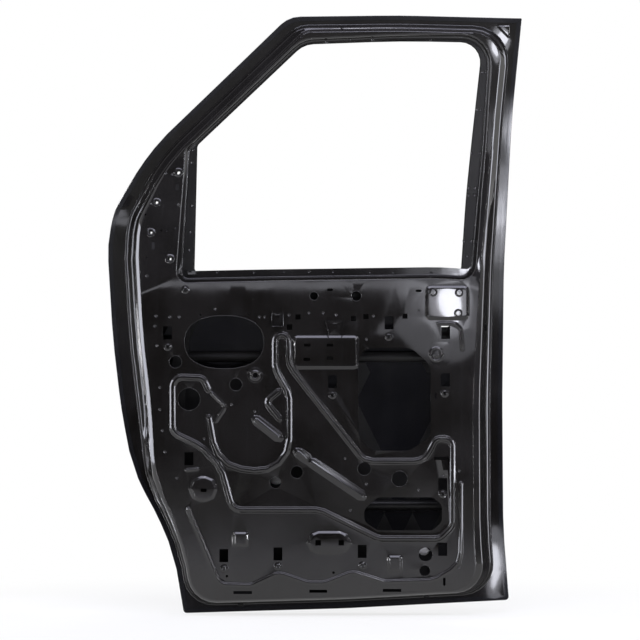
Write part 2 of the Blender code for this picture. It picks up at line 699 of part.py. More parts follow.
def outerSkin():
    edge = filleted([(c[0], c[1], c[2]) for c in DOOR_EDGE])
    window = filleted(SKIN_WINDOW)
    shelf = filleted(inset([c[:2] for c in SKIN_WINDOW], [(-RETURN_RUN, -RETURN_RUN)] * len(SKIN_WINDOW),
                           [c[2] + RETURN_RUN for c in SKIN_WINDOW]))
    cupX, cupZ = HANDLE_AT
    wide, tall = HANDLE_CUP
    rim = rectangle(cupX, cupZ, wide, tall, tall * 0.45)
    floor = rectangle(cupX, cupZ, wide - 2 * HANDLE_CUP_DRAFT, tall - 2 * HANDLE_CUP_DRAFT, tall * 0.3)
    holes = [rectangle(cupX + HANDLE_SLOT_FROM, cupZ, *HANDLE_SLOT, 6),
             circle(cupX + KEY_HOLE_FROM, cupZ, KEY_HOLE / 2)]
    holes += [circle(x, z, MIRROR_HOLE / 2, 8) for x, z in MIRROR_HOLES]
    grid = []
    for i in range(-7, 8):
        for j in range(0, 21):
            grid.append((i * 68.0 + 34 * (j % 2), 36 + j * 68.0))
    grid = np.array(grid)
    clear = inside(grid, edge) & ~inside(grid, shelf) & ~inside(grid, rim)
    near = np.minimum(pathDistance(grid, edge, True), pathDistance(grid, shelf, True))
    grid = grid[clear & (near > 24) & (pathDistance(grid, rim, True) > 20)]
    spots, faces = layout(edge, [window] + holes, [(shelf, True), (rim, True), (floor, True)], grid)
    onReturn = pathDistance(spots, window, True) < 0.05
    sunk = (pathDistance(spots, floor, True) < 0.05) | inside(spots, floor)
    verts = []
    for (x, z), flange, cup in zip(spots, onReturn, sunk):
        depth = RETURN_DEPTH if flange else HANDLE_CUP_DEPTH if cup else 0
        verts.append((x, skinY(x, z) - depth, z))
    mesh = meshOf(verts, [f[::-1] for f in faces])
    mesh.verts.ensure_lookup_table()
    # The rim is folded back over the flange of the inner pressing
    onEdge = pathDistance(spots, edge, True) < 0.05
    ring = [v for v, e in zip(mesh.verts, onEdge) if e]
    hem = [e for e in mesh.edges if e.is_boundary and e.verts[0] in ring and e.verts[1] in ring]
    corners = inset([c[:2] for c in DOOR_EDGE], [(HEM_LIP, HEM_LIP)] * len(DOOR_EDGE),
                    [0 if c[2] < 2 * HEM_LIP else c[2] for c in DOOR_EDGE])
    lip = filleted(corners)
    sharp = [(c, k) for c, k in zip(DOOR_EDGE, corners) if c[2] < 2 * HEM_LIP]
    fold = bmesh.ops.extrude_edge_only(mesh, edges=hem)["geom"]
    for v in (g for g in fold if isinstance(g, bmesh.types.BMVert)):
        v.co.y -= HEM_FOLD * MM
    hem = [g for g in fold if isinstance(g, bmesh.types.BMEdge)]
    turned = bmesh.ops.extrude_edge_only(mesh, edges=hem)["geom"]
    for v in (g for g in turned if isinstance(g, bmesh.types.BMVert)):
        spot = (v.co.x / MM, v.co.z / MM)
        spot = next((k[:2] for c, k in sharp if math.dist(c[:2], spot) < 1.5 * c[2]),
                    None) or nearestOn(lip, spot)
        v.co = Vector((spot[0], skinY(*spot) - HEM_FOLD, spot[1])) * MM
    bmesh.ops.remove_doubles(mesh, verts=mesh.verts, dist=0.01 * MM)
    return finish("outer_skin", mesh, "skin", SKIN_SHEET, math.radians(30))


def nearestOn(loop, point):
    """Nearest spot of a loop, kept near square to the edge it is reached from"""
    a = np.asarray(loop, float)
    b = np.roll(a, -1, axis=0)
    d = b - a
    along = np.clip(((np.asarray(point) - a) * d).sum(axis=1) / (d ** 2).sum(axis=1), 0, 1)
    spots = a + d * along[:, None]
    return tuple(spots[np.argmin(((spots - point) ** 2).sum(axis=1))])


def innerPanel():
    window = pressing.windowRings[0]
    loops = [(r, True) for r in pressing.rings[1:] + pressing.windowRings[1:]]
    # Beads
    beads = []
    for corners, foot, crown, height in (
            (LONG_BEAD, BEAD_FOOT, BEAD_CROWN, BEAD_HEIGHT),
            (HOOK_BEAD, BEAD_FOOT, BEAD_CROWN, BEAD_HEIGHT),
            (WAVE_BEAD, RIM_BEAD_FOOT, RIM_BEAD_CROWN, RIM_BEAD_HEIGHT),
            *((path, THIN_BEAD_FOOT, THIN_BEAD_CROWN, THIN_BEAD_HEIGHT) for path in THIN_BEADS),
            *((path, STIFFENER_FOOT, STIFFENER_CROWN, STIFFENER_HEIGHT) for path in STIFFENER_BEADS),
            *((path, STIFFENER_RIDGE_FOOT, STIFFENER_RIDGE_CROWN, BEAD_HEIGHT) for path in STIFFENER_BEADS)):
        path = filleted(corners, False, BEAD_SPAN, BEAD_ARC_STEP, BEAD_ARC_SPAN)
        beads.append((path, foot / 2, crown / 2, height))
        loops += [(besides(path, foot / 2), True), (besides(path, crown / 2), True)]
    # Pads
    pads = []
    for x, z, wide, tall, radius, height in [BRACKET_PAD, HANDLE_PAD, GROMMET_PAD, DRAIN_PAD] + SQUARE_PADS:
        foot = rectangle(x, z, wide, tall, radius)
        crown = rectangle(x, z, wide - 2 * PAD_DRAFT, tall - 2 * PAD_DRAFT, max(radius - PAD_DRAFT, 2))
        pads.append((foot, height, PAD_DRAFT))
        loops += [(foot, True), (crown, True)]
    draft = [(CORNER_PAD_DRAFT, CORNER_PAD_DRAFT)] * len(CORNER_PAD)
    foot = filleted(CORNER_PAD)
    crown = filleted(inset([c[:2] for c in CORNER_PAD], draft, [1] * len(CORNER_PAD)))
    pads.append((foot, CORNER_PAD_HEIGHT, CORNER_PAD_DRAFT))
    loops += [(foot, True), (crown, True)]
    # Openings
    holes = [
        oval(*SPEAKER_AT, SPEAKER_WIDTH, SPEAKER_HEIGHT),
        filleted(LATCH_ACCESS),
        filleted(LOWER_ACCESS),
    ]
    holes += [rectangle(x, z, CLIP_SLOT_WIDTH, CLIP_SLOT_HEIGHT) for x, z in CLIP_SLOTS]
    holes += [circle(x, z, r, 20 if r > 20 else 12 if r > 11 else 8)
              for x, z, r in ROUND_HOLES + SPEAKER_SCREW_HOLES]
    holes += [rectangle(*s) for s in SMALL_SLOTS + DRAIN_SLOTS]
    holes += [circle(x, z, MIRROR_HOLE / 2, 8) for x, z in MIRROR_HOLES]
    for flat in hingeFlats:
        holes += [flatHole(flat, y, z, HINGE_BOLT_HOLE, HINGE_BOLT_HOLE) for y, z in hingeBolts(flat)]
    holes.append(flatHole(strapFlat, FLAT_MIDDLE_Y, STRAP_Z, *STRAP_SLOT, SLOT_SIDES))
    holes.append(flatHole(latchFlat, FLAT_MIDDLE_Y, LATCH_Z, *LATCH_MOUTH, SLOT_SIDES))
    holes += [flatHole(latchFlat, y, z, LATCH_BOLT_HOLE, LATCH_BOLT_HOLE, 8) for y, z in latchBolts()]
    loops += [(flat["loop"], True) for flat in shutFlats]
    spots, faces = layout(pressing.rings[0], [window] + holes, loops)
    height = np.zeros(len(spots))
    for path, foot, crown, tall in beads:
        reach = (foot - pathDistance(spots, path)) / (foot - crown)
        height = np.maximum(height, tall * np.clip(reach, 0, 1))
    for foot, tall, draft in pads:
        reach = np.where(inside(spots, foot), pathDistance(spots, foot, True), 0) / draft
        height = np.maximum(height, tall * np.clip(reach, 0, 1))
    ys = [pressing.y(x, z) for x, z in spots]
    for flat in shutFlats:
        on = inside(spots, flat["loop"]) | (pathDistance(spots, flat["loop"], True) < 0.05)
        for i in np.flatnonzero(on):
            ys[i] = flat["plane"](*spots[i])
    verts = [(x, y - h, z) for (x, z), y, h in zip(spots, ys, height)]
    return finish("inner_panel", meshOf(verts, faces), "panel", PANEL_SHEET, math.radians(30))


# Pieces welded to the skin and the pressing


def behindSkin(x, z, inboard=0.0):
    """Point behind the skin, a play and a further distance from its inner face"""
    return Vector((x, skinY(x, z) - SKIN_SHEET - PLAY - inboard, z))


def beltRails():
    """Hat-section rails along the glass slot, one on the skin and one on the pressing"""
    first, last = BELT_RAIL_ENDS
    xs = [p[0] for p in spread((first, 0), (last, 0), SPAN)] + [last]
    land, step, web, bulge = BELT_RAIL_LAND, BELT_RAIL_STEP, BELT_RAIL_WEB, BELT_RAIL_BULGE
    drops = [0, land, land + step, land + step + web, land + 2 * step + web, 2 * land + 2 * step + web]
    hat = [0, 0, bulge, bulge, 0, 0]
    strip = bentStrip([(d, BELT_RAIL_TOP - drop) for d, drop in zip(hat, drops)], CHANNEL_SHEET)
    lofted("belt_reinforcement_outer", [[behindSkin(x, z, d) for d, z in strip] for x in xs])
    sections = []
    for x in xs:
        top, foot = (edgeAbove(pressing.windowRings[k], x) for k in (0, 1))
        land = top - foot - 2 * BELT_RAIL_STEP
        bed = max(pressing.y(x, top - 1), pressing.y(x, foot + 1)) + PANEL_SHEET + PLAY
        drops = [0, land + 2 * step, land + 4 * step, land + 4 * step + web, land + 5 * step + web,
                 2 * land + 5 * step + web]
        strip = bentStrip([(bed - d, top - step - drop) for d, drop in zip(hat, drops)], CHANNEL_SHEET)
        sections.append([Vector((x, y, z)) for y, z in strip])
    lofted("belt_reinforcement_inner", sections)


def edgeAbove(loop, x):
    """Height at which the lower run of a loop passes a given x"""
    heights = [a[1] + (b[1] - a[1]) * (x - a[0]) / (b[0] - a[0])
               for a, b in zip(loop, loop[1:] + loop[:1]) if (a[0] > x) != (b[0] > x)]
    return min(heights)


def beamY(z):
    return skinY(0, z) - BEAM_FROM_SKIN


def beamEnd(z, side):
    """Where a beam stops short of the shut face"""
    return pressing.wall(beamY(z) - BEAM_RADIUS, z, side)[0].x - side * BEAM_END_GAP


def intrusionBeam(name, z):
    axis = Vector((1, 0, 0))
    first, last = beamEnd(z, -1), beamEnd(z, 1)
    bore = BEAM_RADIUS - BEAM_WALL
    profile = [(bore, 0), (BEAM_RADIUS, 0), (BEAM_RADIUS, last - first), (bore, last - first)]
    turned(name, profile, (first, beamY(z), z), axis, 16, smoothAngle=math.radians(40))


def beamSaddle(name, z, side):
    """Cradle round the inboard side of a beam, flared into a foot on the shut face"""
    steps = 6
    angles = [-SADDLE_WRAP + 2 * SADDLE_WRAP * k / steps for k in range(steps + 1)]
    radius = BEAM_RADIUS + PLAY
    top = skinY(0, z) - LAND_DEPTH - FLAT_INSET + 4
    seat = PANEL_SHEET + PLAY

    def spot(angle, reach):
        return beamY(z) - reach * math.cos(angle), z + reach * math.sin(angle)

    def onWall(angle, reach, off):
        y, height = spot(angle, reach)
        hit, normal = pressing.wall(min(y, top), height, side)
        return hit + normal * off

    rows = []
    inner = beamEnd(z, side) - side * SADDLE_LENGTH
    for angle in angles:
        y, height = spot(angle, radius)
        bend = onWall(angle, radius, seat + SADDLE_BEND)
        rows.append([Vector((inner, y, height)), Vector((bend.x, y, height)),
                     onWall(angle, radius + SADDLE_BEND, seat),
                     onWall(angle, radius + SADDLE_BEND + SADDLE_FOOT, seat)])
    n = len(rows[0])
    verts = [v for row in rows for v in row]
    faces = [(r * n + k, r * n + k + 1, (r + 1) * n + k + 1, (r + 1) * n + k)
             for r in range(steps) for k in range(n - 1)]
    if side > 0:
        faces = [f[::-1] for f in faces]
    finish(name, meshOf(verts, faces), sheet=SADDLE_SHEET, smoothAngle=math.radians(35))


def flatFrame(flat, lift):
    """Plate directions on a shut-face flat and its origin, lifted into the door"""
    across = Vector((1 / flat["slope"], 1, 0)).normalized() * -flat["side"]
    up = Vector((flat["lean"], 0, 1)).normalized()
    inward = across.cross(up).normalized()
    return onFlat(flat, FLAT_MIDDLE_Y, flat["z"]) + inward * lift, across, up, inward


def flatPlate(name, flat, size, holes):
    """Reinforcement plate on the inner side of a shut-face flat"""
    origin, across, up, _ = flatFrame(flat, PANEL_SHEET + PLAY)
    plate(name, rectangle(0, 0, *size, PLATE_CORNER), holes, origin, across, up, PLATE_SHEET)


def weldNut(name, origin, across, up, bore):
    corner = NUT_ACROSS / math.sqrt(3)
    plate(name, circle(0, 0, corner, 6), [circle(0, 0, bore / 2, 8)], origin, across, up, NUT_HEIGHT)


def shutFacePlates():
    lift = PANEL_SHEET + PLAY + PLATE_SHEET + PLAY
    for place, flat in zip(("upper", "lower"), hingeFlats):
        bolts = [s * HINGE_BOLT_PITCH / 2 for s in (-1, 1)]
        holes = [circle(0, b, HINGE_BOLT_HOLE / 2, 10) for b in bolts]
        flatPlate(f"hinge_reinforcement_{place}", flat, HINGE_PLATE, holes)
        origin, across, up, _ = flatFrame(flat, lift)
        for end, b in zip(("bottom", "top"), bolts):
            weldNut(f"hinge_nut_{place}_{end}", origin + up * b, across, up, HINGE_BOLT_HOLE)
    slot = oval(0, 0, *STRAP_SLOT, 12)
    flatPlate("check_strap_reinforcement", strapFlat, STRAP_PLATE, [slot])
    holes = [oval(0, 0, *LATCH_MOUTH, 12)]
    holes += [circle(0, s * LATCH_BOLT_PITCH / 2, LATCH_BOLT_HOLE / 2, 8) for s in (-1, 1)]
    flatPlate("latch_reinforcement", latchFlat, LATCH_PLATE, holes)


def edgeBeside(loop, z, side):
    """Outermost x of a loop at a height, on one side"""
    xs = [a[0] + (b[0] - a[0]) * (z - a[1]) / (b[1] - a[1])
          for a, b in zip(loop, loop[1:] + loop[:1]) if (a[1] > z) != (b[1] > z)]
    return max(xs, key=lambda x: x * side)


def mirrorReinforcement():
    """Sheet that follows the pressing's crest between its shoulder and the window"""
    heights = [p[0] for p in spread((MIRROR_PLATE_FROM, 0), (MIRROR_PLATE_TO, 0), SPAN / 3)] + [MIRROR_PLATE_TO]
    margin = MIRROR_PLATE_MARGIN
    left = [(edgeBeside(pressing.rings[5], z, -1) + margin, z) for z in heights]
    right = [(edgeBeside(pressing.windowRings[2], z, -1) - margin, z) for z in heights]
    holes = [circle(x, z, MIRROR_HOLE / 2, 8) for x, z in MIRROR_HOLES]
    grid = [(a[0] + (b[0] - a[0]) * k / 3, a[1]) for a, b in zip(left[1:-1], right[1:-1]) for k in (1, 2)]
    near = np.array([pathDistance(grid, hole, True) for hole in holes]).min(axis=0)
    grid = [p for p, d in zip(grid, near) if d > MIRROR_HOLE]
    spots, faces = layout(right + left[::-1], holes, (), grid)
    seat = PANEL_SHEET + MIRROR_PLATE_PLAY
    mesh = meshOf([(x, pressing.y(x, z) + seat, z) for x, z in spots], faces)
    finish("mirror_reinforcement", mesh, sheet=CHANNEL_SHEET, smoothAngle=math.radians(30))
    for k, (x, z) in enumerate(MIRROR_HOLES):
        reach = NUT_ACROSS / 2
        here, above, below, right, left = (
            Vector((x + dx, pressing.y(x + dx, z + dz), z + dz))
            for dx, dz in ((0, 0), (0, reach), (0, -reach), (reach, 0), (-reach, 0)))
        up = (above - below).normalized()
        across = ((left - right) - up * (left - right).dot(up)).normalized()
        lift = across.cross(up).normalized() * (seat + CHANNEL_SHEET + MIRROR_PLATE_PLAY)
        weldNut(f"mirror_nut_{k + 1}", here + lift, across, up, MIRROR_HOLE)


# Glass channels: U sections between the skin's return and the pressing's window flange
CHANNEL_WIDTH = GLASS_FLANGE_DEPTH - PANEL_SHEET - PLAY - RETURN_DEPTH - SKIN_SHEET - PLAY


def channelLines():
    """Corners of the lines that the channels' lips and bases follow round the window"""
    lines = []
    for window, back in ((SKIN_WINDOW, CHANNEL_LIP_BACK), (PANEL_WINDOW, CHANNEL_BASE_BACK)):
        widths = [(-back, -back)] * len(window)
        lines.append(inset([c[:2] for c in window], widths, [c[2] + back for c in window]))
    return lines


def atHeight(a, b, z):
    return (a[0] + (b[0] - a[0]) * (z - a[1]) / (b[1] - a[1]), z)


def channelSections(pairs):
    """U sections at pairs of lip and base points, opening toward the glass"""
    sections = []
    for lip, base in pairs:
        lip, base = Vector(lip), Vector(base)
        reach = (base - lip).length
        out = (base - lip) / reach
        bed = max(flangeY(*lip), flangeY(*(lip + out * max(reach - CHANNEL_BASE_BACK, 0))))
        bed += PANEL_SHEET + PLAY
        strip = bentStrip([(0, bed), (reach, bed), (reach, bed + CHANNEL_WIDTH), (0, bed + CHANNEL_WIDTH)],
                          CHANNEL_SHEET)
        sections.append([Vector((lip.x + out.x * a, y, lip.y + out.y * a)) for a, y in strip])
    return sections


def divided(pairs, longest=SPAN):
    """Lip and base pairs with long runs between them divided"""
    laid = []
    for (lip0, base0), (lip1, base1) in zip(pairs, pairs[1:]):
        count = max(1, math.ceil(math.dist(base0, base1) / longest))
        for k in range(count):
            mix = lambda a, b: tuple(p + (q - p) * k / count for p, q in zip(a, b))
            laid.append((mix(lip0, lip1), mix(base0, base1)))
    return laid + [pairs[-1]]


def glassChannels():
    lips, bases = channelLines()
    n = len(lips)

    def bend(i, steps=4):
        arcs = [rounding(line[i - 1], line[i], line[(i + 1) % n], line[i][2]) for line in (lips, bases)]
        return [tuple(onArc(arc, k / steps) for arc in arcs) for k in range(steps + 1)]

    def corner(i):
        return (lips[i][:2], bases[i][:2])

    def split(i, j):
        return tuple(atHeight(line[i], line[j], CHANNEL_SPLIT_Z) for line in (lips, bases))

    loops = [filleted([c[:2] + (0,) for c in line]) for line in (lips, bases)]

    def level(z, side):
        return tuple((edgeBeside(loop, z, side), z) for loop in loops)

    header = bend(6) + [corner(7)] + bend(8) + [corner(9)]
    corners = sorted(c[1] for line in (lips, bases) for c in line[4:6])
    rear = [split(3, 4)] + [level(z, 1) for z in corners] + [header[0]]
    front = [corner(9), split(0, 9)]
    # The ends of neighbouring channels stand a play apart
    start = (Vector(rear[-1][1]) - Vector(rear[-2][1])).normalized() * PLAY
    header[0] = tuple((p[0] + start.x, p[1] + start.y) for p in header[0])
    stop = (Vector(header[-2][1]) - Vector(header[-1][1])).normalized() * PLAY * 1.5
    header[-1] = tuple((p[0] + stop.x, p[1] + stop.y) for p in header[-1])
    lofted("header_glass_channel", channelSections(divided(header)))
    for place, pairs, top in (("front", front, front[1]), ("rear", rear, rear[0])):
        lofted(f"{place}_glass_channel", channelSections(divided(pairs, SPAN / 2)))
        section = channelSections([top])[0]
        slide = Vector((CHANNEL_LEAN, 0, 1))
        ends = [-PLAY, CHANNEL_FOOT_Z - CHANNEL_SPLIT_Z]
        lofted(f"{place}_glass_channel_lower", [[v + slide * d for v in section] for d in ends])
        channelBracket(place, section, top)


def channelBracket(place, section, top):
    """Bent strip from the trim plane out to the cabin side of a lower channel"""
    drop = CHANNEL_BRACKET_Z - CHANNEL_SPLIT_Z
    lip, base = (p[0] + CHANNEL_LEAN * drop for p in top)
    side = 1 if base > lip else -1
    bed = min(v.y for v in section) - PLAY
    foot = TRIM_PLANE_Y + PANEL_SHEET + PLAY + CHANNEL_SHEET
    turn = lip + side * CHANNEL_BASE_BACK
    path = [(-CHANNEL_BRACKET_FOOT, foot), (0, foot), (0, bed), (abs(base - turn), bed)]
    strip = bentStrip([(-a, y) for a, y in path][::-1], -CHANNEL_SHEET)
    sections = [[Vector((turn - side * a, y, CHANNEL_BRACKET_Z + s * CHANNEL_BRACKET_WIDTH / 2))
                 for a, y in strip] for s in (-1, 1)]
    lofted(f"{place}_channel_bracket", sections)


def handleReinforcement():
    """Frame on the inner face of the skin, round the handle cup"""
    x, z = HANDLE_AT
    wide, tall = (size + 2 * HANDLE_PLATE_CLEAR for size in HANDLE_CUP)
    outline = rectangle(0, 0, wide + 2 * HANDLE_PLATE_MARGIN, tall + 2 * HANDLE_PLATE_MARGIN, PLATE_CORNER * 2)
    window = rectangle(0, 0, wide, tall, tall * 0.45)
    spots, faces = layout(outline, [window])
    mesh = meshOf([behindSkin(x + a, z + b) for a, b in spots], [f[::-1] for f in faces])
    finish("outer_handle_reinforcement", mesh, sheet=CHANNEL_SHEET)


def tray(name, outline, hole, walls, height, at):
    """Bracket of bent sheet: a base on the trim plane and walls that stand off it"""
    x, z = at
    spots, faces = layout(outline, [hole])
    seat = TRIM_PLANE_Y - PLAY
    mesh = meshOf([(x + a, seat, z + b) for a, b in spots], [f[::-1] for f in faces])
    mesh.verts.ensure_lookup_table()
    corners = [Vector((x + a, seat, z + b)) * MM for a, b in outline]
    for first, last in walls:
        a, b = corners[first], corners[last]
        edges = [e for e in mesh.edges if e.is_boundary and {True} == {
            (v.co - a).length < 1e-6 or (v.co - b).length < 1e-6 for v in e.verts}]
        made = bmesh.ops.extrude_edge_only(mesh, edges=edges)["geom"]
        for v in (g for g in made if isinstance(g, bmesh.types.BMVert)):
            v.co.y -= height * MM
    bmesh.ops.remove_doubles(mesh, verts=mesh.verts, dist=0.01 * MM)
    finish(name, mesh, sheet=BRACKET_SHEET)


def trimBrackets():
    x, z, wide, tall = ARMREST_BRACKET
    w, h = wide / 2, tall / 2
    tray("armrest_bracket", [(-w, -h), (w, -h), (w, h), (-w, h)],
         circle(-1.5, h - BRACKET_HOLE, BRACKET_HOLE / 2, 8), [(0, 1), (1, 2), (3, 0)], ARMREST_WALL, (x, z))
    x, z, wide, tall, foot = PULL_BRACKET
    w, h, f = wide / 2, tall / 2, foot
    tray("pull_handle_bracket", [(-f, -h), (f, -h), (w, h), (-w, h)],
         circle(0, 2, BRACKET_HOLE / 2, 8), [(1, 2), (3, 0)], PULL_WALL, (x, z))
    x, z, wide, tall = LOCK_PLATE
    boss = (LOCK_BOSS[0] - x, LOCK_BOSS[1] - z)
    plate("lock_plate", rectangle(0, 0, wide, tall, 6), [circle(*boss, BOSS_BORE, 8)],
          Vector((x, TRIM_PLANE_Y - PLAY, z)), Vector((1, 0, 0)), Vector((0, 0, 1)), BRACKET_SHEET)
    trimBoss("lock_plate_boss", *LOCK_BOSS, BRACKET_SHEET + PLAY)
    for k, (x, z) in enumerate(BOSSES):
        trimBoss(f"trim_boss_{k + 1}", x, z)
    for k, (x, z) in enumerate(PLATE_BOLTS):
        trimBoss(f"handle_pad_boss_{k + 1}", x, z, HANDLE_PAD[5])


def trimBoss(name, x, z, lift=0.0):
    """Round nut with a conical flange on the trim plane"""
    profile = [(BOSS_BORE, 0), (BOSS_RADIUS, 0), (BOSS_RADIUS, 1.5), (BOSS_BORE + 2.5, BOSS_HEIGHT),
               (BOSS_BORE, BOSS_HEIGHT)]
    turned(name, profile, (x, TRIM_PLANE_Y - PLAY - lift, z), (0, -1, 0), 8)


def build():
    outerSkin()
    innerPanel()
    beltRails()
    for place, z in zip(("upper", "lower"), BEAM_Z):
        intrusionBeam(f"intrusion_beam_{place}", z)
        beamSaddle(f"beam_bracket_{place}_front", z, -1)
        beamSaddle(f"beam_bracket_{place}_rear", z, 1)
    shutFacePlates()
    mirrorReinforcement()
    glassChannels()
    handleReinforcement()
    trimBrackets()


build()
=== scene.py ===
# Looks of the car door shell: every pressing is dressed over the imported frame
import math

import bmesh
import bpy
from mathutils import Matrix, Vector
from mathutils.bvhtree import BVHTree


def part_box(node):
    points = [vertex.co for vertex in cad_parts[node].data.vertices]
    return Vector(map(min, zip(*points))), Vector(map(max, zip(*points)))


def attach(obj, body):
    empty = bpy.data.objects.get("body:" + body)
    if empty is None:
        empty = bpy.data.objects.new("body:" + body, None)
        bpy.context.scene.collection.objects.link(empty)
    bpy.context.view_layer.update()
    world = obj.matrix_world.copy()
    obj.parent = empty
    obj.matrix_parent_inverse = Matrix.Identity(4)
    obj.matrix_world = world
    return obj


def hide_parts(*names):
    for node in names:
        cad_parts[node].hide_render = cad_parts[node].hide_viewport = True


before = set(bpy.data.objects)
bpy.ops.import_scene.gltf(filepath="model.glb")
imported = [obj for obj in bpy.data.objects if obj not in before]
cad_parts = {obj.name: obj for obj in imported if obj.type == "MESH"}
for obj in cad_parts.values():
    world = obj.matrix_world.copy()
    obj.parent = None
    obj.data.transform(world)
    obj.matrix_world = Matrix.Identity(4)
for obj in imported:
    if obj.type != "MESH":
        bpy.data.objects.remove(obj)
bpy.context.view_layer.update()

scene = bpy.context.scene
mm = 0.001
inboard = Vector((0, -1, 0))


# Shader trees: a wire is one socket, sums on it add Math nodes

class Wire:
    def __init__(self, tree, socket=None):
        self.tree = tree
        self.socket = socket

    def node(self, kind, settings=(), values=(), out=0):
        made = self.tree.nodes.new("ShaderNode" + kind)
        for name, value in dict(settings).items():
            setattr(made, name, value)
        for name, value in dict(values).items():
            if isinstance(value, Wire):
                self.tree.links.new(value.socket, made.inputs[name])
            else:
                made.inputs[name].default_value = value
        return Wire(self.tree, made.outputs[out]) if len(made.outputs) else made

    def out(self, name):
        return Wire(self.tree, self.socket.node.outputs[name])

    def sum(self, operation, first, second=0.0):
        return self.node("Math", {"operation": operation}, {0: first, 1: second})

    def __add__(self, other):
        return self.sum("ADD", self, other)

    def __sub__(self, other):
        return self.sum("SUBTRACT", self, other)

    def __rsub__(self, other):
        return self.sum("SUBTRACT", other, self)

    def __mul__(self, other):
        return self.sum("MULTIPLY", self, other)

    __radd__ = __add__
    __rmul__ = __mul__

    def between(self, low, high, start=0.0, end=1.0):
        return self.node("MapRange", {"interpolation_type": "SMOOTHSTEP"},
                         {"Value": self, "From Min": low, "From Max": high, "To Min": start, "To Max": end})

    def tint(self, first, second):
        return self.node("Mix", {"data_type": "RGBA"}, {0: self, 6: first, 7: second}, out=2)

    def noise(self, place, scale, detail=2.0, rough=0.5):
        return self.node("TexNoise", (), {"Vector": place, "Scale": scale, "Detail": detail, "Roughness": rough})

    def stretched(self, place, scale, turn=(0, 0, 0)):
        return self.node("Mapping", (), {"Vector": place, "Rotation": turn, "Scale": scale})


def newMaterial(name):
    material = bpy.data.materials.new(name)
    material.use_nodes = True
    material.node_tree.nodes.clear()
    return material, Wire(material.node_tree)


def closeMaterial(wire, sockets):
    shader = wire.node("BsdfPrincipled", (), sockets)
    wire.node("OutputMaterial", (), {"Surface": shader})


# Black electrocoat: cloudy depth, orange peel, the sheet's own waves, drain streaks, dust and fine scuffs.
# Scales are in turns per metre, relief in millimetres

coatLook = {
    "cloudScale": 7.0, "streakScale": (70, 70, 3), "grainScale": 900.0, "peelScale": 420.0, "dustScale": 260.0,
    "scuffScale": (900, 60, 14), "scuffTurn": (0, 0.5, 0), "scuffPatch": 11.0, "streak": (0.013, 0.0125, 0.0125),
    "dust": (0.075, 0.072, 0.068), "streakShare": 0.35, "dustShare": 0.06, "scuffShare": 0.08, "peel": 0.005,
    "runs": 0.012,
}
panelLook = {**coatLook, "dark": (0.0068, 0.0062, 0.0056), "light": (0.0105, 0.0097, 0.0092), "rough": 0.055,
             "waveScale": 12.0, "wave": 0.12, "ior": 1.52}
skinLook = {**coatLook, "dark": (0.009, 0.009, 0.0105), "light": (0.013, 0.013, 0.0145), "rough": 0.07,
            "waveScale": 5.0, "wave": 0.2, "ior": 1.52}
innerLook = {**coatLook, "dark": (0.008, 0.0078, 0.0075), "light": (0.013, 0.0125, 0.012), "rough": 0.36,
             "waveScale": 22.0, "wave": 0.15, "ior": 1.3}


def electrocoat(name, look):
    material, wire = newMaterial(name)
    place = wire.node("TexCoord").out("Object")
    cloud = wire.noise(place, look["cloudScale"], 3.0)
    streaks = wire.noise(wire.stretched(place, look["streakScale"]), 1.0, 3.0)
    grain = wire.noise(place, look["grainScale"], 1.0)
    peel = wire.noise(place, look["peelScale"], 2.0)
    wave = wire.noise(place, look["waveScale"], 1.5, 0.4)
    dust = wire.noise(place, look["dustScale"], 2.0).between(0.62, 0.74) * cloud.between(0.48, 0.62)
    lines = wire.noise(wire.stretched(place, look["scuffScale"], look["scuffTurn"]), 1.0, 1.0)
    scuffs = lines.between(0.69, 0.73) * wire.noise(place, look["scuffPatch"], 2.0).between(0.56, 0.7)
    tone = cloud.between(0.35, 0.65).tint((*look["dark"], 1), (*look["light"], 1))
    tone = (streaks.between(0.5, 0.75) * look["streakShare"]).tint(tone, (*look["streak"], 1))
    tone = (dust * look["dustShare"] + scuffs * look["scuffShare"]).tint(tone, (*look["dust"], 1))
    rough = look["rough"] + cloud.between(0.3, 0.7, -0.02, 0.03) + streaks.between(0.5, 0.8) * 0.02
    rough = rough + dust * 0.04 + scuffs * 0.05 + grain.between(0.3, 0.7, -0.01, 0.01)
    relief = peel * look["peel"] + wave * look["wave"] + streaks * look["runs"]
    bump = wire.node("Bump", (), {"Height": relief, "Strength": 1.0, "Distance": mm})
    closeMaterial(wire, {"Base Color": tone, "Roughness": rough, "Normal": bump, "IOR": look["ior"]})
    return material


panelCoat = electrocoat("panelCoat", panelLook)
skinCoat = electrocoat("skinCoat", skinLook)
innerCoat = electrocoat("innerCoat", innerLook)

# Pale mastic: its near-white colour is also a painted highlight, standing in for the bright reflection seen through two
# holes
masticHighlightLook = {"dark": (0.8, 0.79, 0.76), "light": (0.92, 0.91, 0.89), "rough": 0.55, "lumpScale": 240.0,
              "skinScale": 60.0, "relief": 0.6}


def masticHighlight(name, look):
    material, wire = newMaterial(name)
    place = wire.node("TexCoord").out("Object")
    lumps = wire.noise(place, look["lumpScale"], 3.0)
    skinned = wire.noise(place, look["skinScale"], 2.0)
    tone = lumps.between(0.35, 0.65).tint((*look["dark"], 1), (*look["light"], 1))
    rough = look["rough"] + skinned.between(0.3, 0.7, -0.1, 0.12)
    bump = wire.node("Bump", (), {"Height": lumps + skinned * 0.5, "Strength": 0.6, "Distance": look["relief"] * mm})
    closeMaterial(wire, {"Base Color": tone, "Roughness": rough, "Normal": bump})
    return material


paleMasticHighlight = masticHighlight("paleMasticHighlight", masticHighlightLook)
print("materials made")


# Pieces

def addPiece(name, mesh, material, slot):
    mesh.materials.clear()
    mesh.materials.append(material)
    piece = bpy.data.objects.new(name, mesh)
    scene.collection.objects.link(piece)
    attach(piece, "root")
    return piece


def meshFrom(shape, name):
    mesh = bpy.data.meshes.new(name)
    shape.to_mesh(mesh)
    shape.free()
    return mesh


